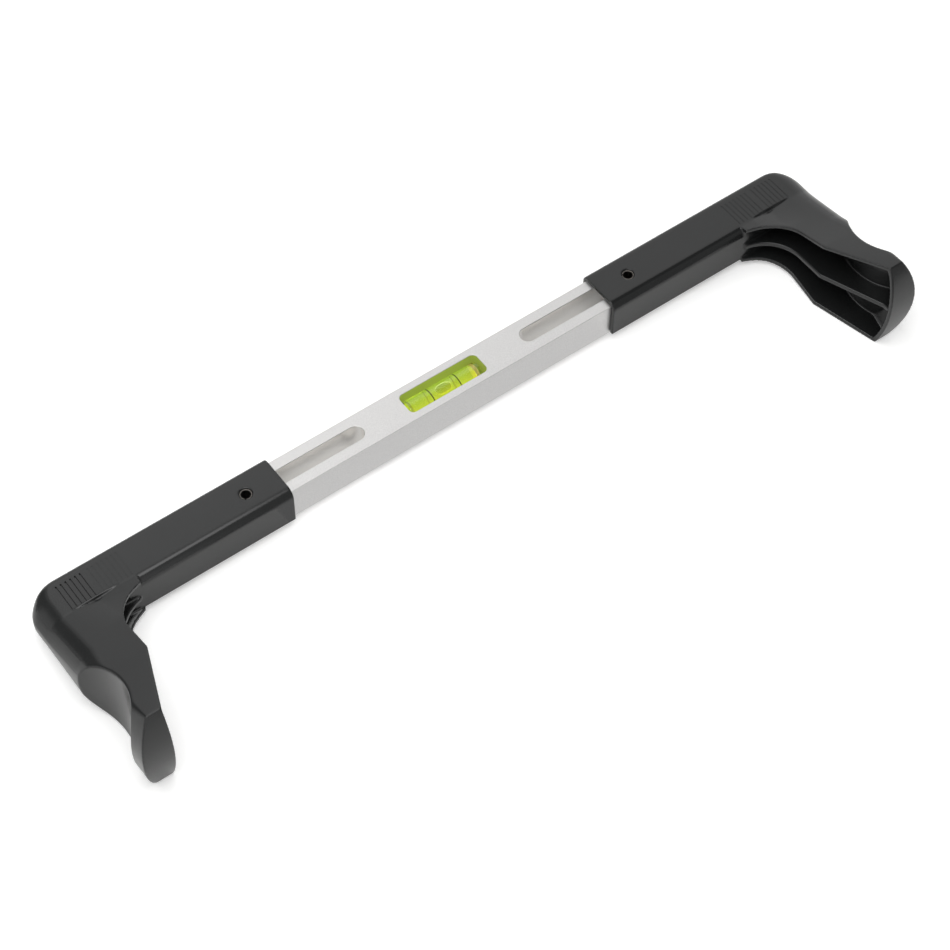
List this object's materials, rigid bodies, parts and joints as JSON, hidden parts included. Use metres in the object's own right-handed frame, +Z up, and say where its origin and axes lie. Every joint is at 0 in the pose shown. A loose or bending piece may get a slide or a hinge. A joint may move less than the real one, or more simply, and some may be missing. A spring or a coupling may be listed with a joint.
{
  "type": "steering wheel level",
  "caption": "Steering wheel level: a solid aluminium bar with a green spirit vial in its middle and hooked black plastic arms that slide out on its ends to span the wheel.",
  "frame": {"origin": "centre of the bounding box's underside, on the surface that the level lies on: it rests on the bar's rear bottom edge and on the undersides of the two hook tips", "axes": "+X along the bar towards the right arm, -Y the way the hooks reach, +Z up from the surface; the bar's top face leans about 10.7 degrees away from the hooks"},
  "size_m": [0.446, 0.1014, 0.0554],
  "materials": {
    "bar_aluminium": "bead blasted, clear anodised",
    "vial_acrylic": "clear polished acrylic",
    "vial_plug": "smooth, tinted by the liquid",
    "vial_liquid": "clear yellow-green spirit",
    "vial_bubble": "clear",
    "vial_ring": "black paint in a turned groove",
    "vial_bond": "clear adhesive",
    "arm_plastic": "satin black, injection moulded",
    "pin_steel": "black oxide spring steel"
  },
  "bodies": {
    "bar_and_vial": {"bar": "bar_aluminium", "vial_tube": "vial_acrylic", "vial_plug": "vial_plug", "vial_liquid": "vial_liquid", "vial_ring_left": "vial_ring", "vial_ring_right": "vial_ring", "vial_bond_left": "vial_bond", "vial_bond_right": "vial_bond"},
    "bubble": {"vial_bubble": "vial_bubble"},
    "left_arm_and_pin": {"left_arm": "arm_plastic", "left_roll_pin": "pin_steel"},
    "right_arm_and_pin": {"right_arm": "arm_plastic", "right_roll_pin": "pin_steel"}
  },
  "joints": [
    {"name": "left_arm_slide", "type": "slide", "parent": "bar_and_vial", "child": "left_arm_and_pin", "axis": [-1, 0, 0], "range_m": [-0.0607, 0.0097]},
    {"name": "right_arm_slide", "type": "slide", "parent": "bar_and_vial", "child": "right_arm_and_pin", "axis": [1, 0, 0], "range_m": [-0.0607, 0.0097]},
    {"name": "bubble_slide", "type": "slide", "parent": "bar_and_vial", "child": "bubble", "axis": [1, 0, 0], "range_m": [-0.01, 0.01]}
  ]
}
